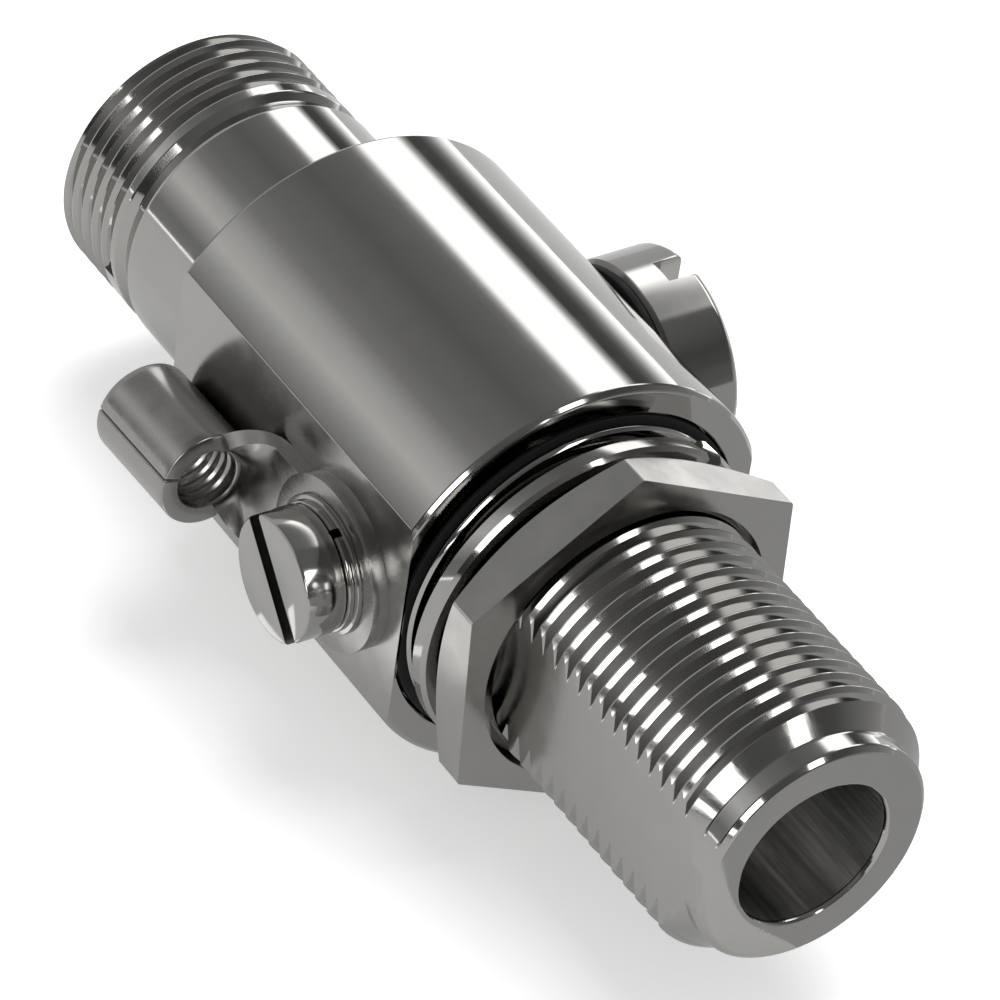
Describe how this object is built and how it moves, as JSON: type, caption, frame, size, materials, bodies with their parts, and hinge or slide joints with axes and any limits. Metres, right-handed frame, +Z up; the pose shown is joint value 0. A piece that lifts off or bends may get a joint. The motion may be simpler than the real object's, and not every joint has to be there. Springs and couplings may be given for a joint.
{
  "type": "coax lightning arrestor",
  "caption": "Inline coaxial surge arrestor with a threaded bulkhead jack and a plain jack, a slotted cap over its gas discharge tube, and a ring terminal for the ground wire.",
  "frame": {"origin": "on the main axis, in the plane of the barrel's end face that bears on the panel", "axes": "+X along the main axis towards the threaded nose, -Y towards the ground screw, +Y towards the gas tube's cap, +Z up"},
  "size_m": [0.0613, 0.0307, 0.0236],
  "materials": {
    "nickel": "polished nickel plate over brass",
    "plated_steel": "nickel plate over spring steel",
    "tin_plate": "satin tin plate over copper",
    "black_rubber": "matte",
    "silver_plate": "silver plate over brass and beryllium copper",
    "ptfe": "white PTFE",
    "electrode": "nickel iron",
    "ceramic": "white alumina",
    "spring_steel": "bright drawn wire"
  },
  "bodies": {
    "housing": {"main_body": "nickel", "rear_jack_shell": "nickel", "line_conductor": "silver_plate", "front_contact": "silver_plate", "rear_contact": "silver_plate", "front_insulator": "ptfe", "rear_insulator": "ptfe", "gas_tube_inner_electrode": "electrode", "gas_tube_ceramic": "ceramic", "gas_tube_outer_electrode": "electrode", "gas_tube_spring": "spring_steel", "panel_seal": "black_rubber"},
    "panel_washers": {"panel_flat_washer": "nickel", "panel_lock_washer": "plated_steel"},
    "panel_nut": {"panel_nut": "nickel"},
    "cap_ring": {"cap_seal_ring": "black_rubber"},
    "cap": {"gas_tube_cap": "nickel"},
    "screw_washer": {"ground_flat_washer": "nickel", "ground_lock_washer": "plated_steel"},
    "screw": {"ground_screw": "nickel"},
    "lug": {"ground_lug": "tin_plate"}
  },
  "joints": [
    {"name": "nut_travel", "type": "slide", "parent": "housing", "child": "panel_washers", "axis": [1, 0, 0], "range_m": [0, 0.01376]},
    {"name": "nut_turn", "type": "hinge", "parent": "panel_washers", "child": "panel_nut", "pos_m": [0, 0, 0], "axis": [1, 0, 0], "range_deg": [0, 4680]},
    {"name": "cap_travel", "type": "slide", "parent": "housing", "child": "cap_ring", "axis": [0, 1, 0], "range_m": [0, 0.0031]},
    {"name": "cap_turn", "type": "hinge", "parent": "cap_ring", "child": "cap", "pos_m": [-0.01294, 0, 0], "axis": [0, 1, 0], "range_deg": [0, 1116]},
    {"name": "screw_travel", "type": "slide", "parent": "housing", "child": "screw_washer", "axis": [0, -1, 0], "range_m": [0, 0.0034]},
    {"name": "screw_turn", "type": "hinge", "parent": "screw_washer", "child": "screw", "pos_m": [-0.00595, 0, 0], "axis": [0, -1, 0], "range_deg": [0, 1748.57]},
    {"name": "lug_swing", "type": "hinge", "parent": "housing", "child": "lug", "pos_m": [-0.00595, -0.00989, 0], "axis": [0, -1, 0], "range_deg": [-92.5, 87.5]}
  ],
  "couplings": [
    {"joint": "nut_turn", "follows": "nut_travel", "rad_per_m": 5936.9},
    {"joint": "cap_turn", "follows": "cap_travel", "rad_per_m": 6283.2},
    {"joint": "screw_turn", "follows": "screw_travel", "rad_per_m": 8976}
  ]
}
